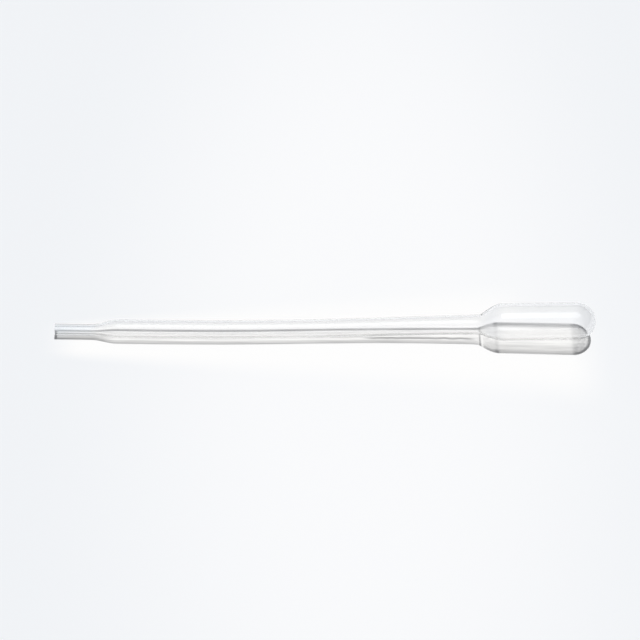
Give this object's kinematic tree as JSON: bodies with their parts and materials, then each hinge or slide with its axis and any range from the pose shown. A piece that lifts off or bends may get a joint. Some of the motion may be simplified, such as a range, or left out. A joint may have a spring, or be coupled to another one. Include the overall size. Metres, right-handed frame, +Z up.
{
  "type": "plastic dropper pipette",
  "caption": "One-piece disposable dropper pipette in clear soft plastic, with a narrow open tip, a long slim stem and a round squeeze bulb, lying on its side.",
  "frame": {"origin": "middle of the length, on the surface the pipette lies on, below its axis", "axes": "+X along the pipette from its open tip to its squeeze bulb, +Z up as it lies"},
  "size_m": [0.15, 0.0104, 0.0112],
  "materials": {
    "clear_polyethylene": "clear, faintly milky soft polyethylene with fine streaks along its length"
  },
  "bodies": {
    "root": {"pipette": "clear_polyethylene"}
  },
  "joints": []
}
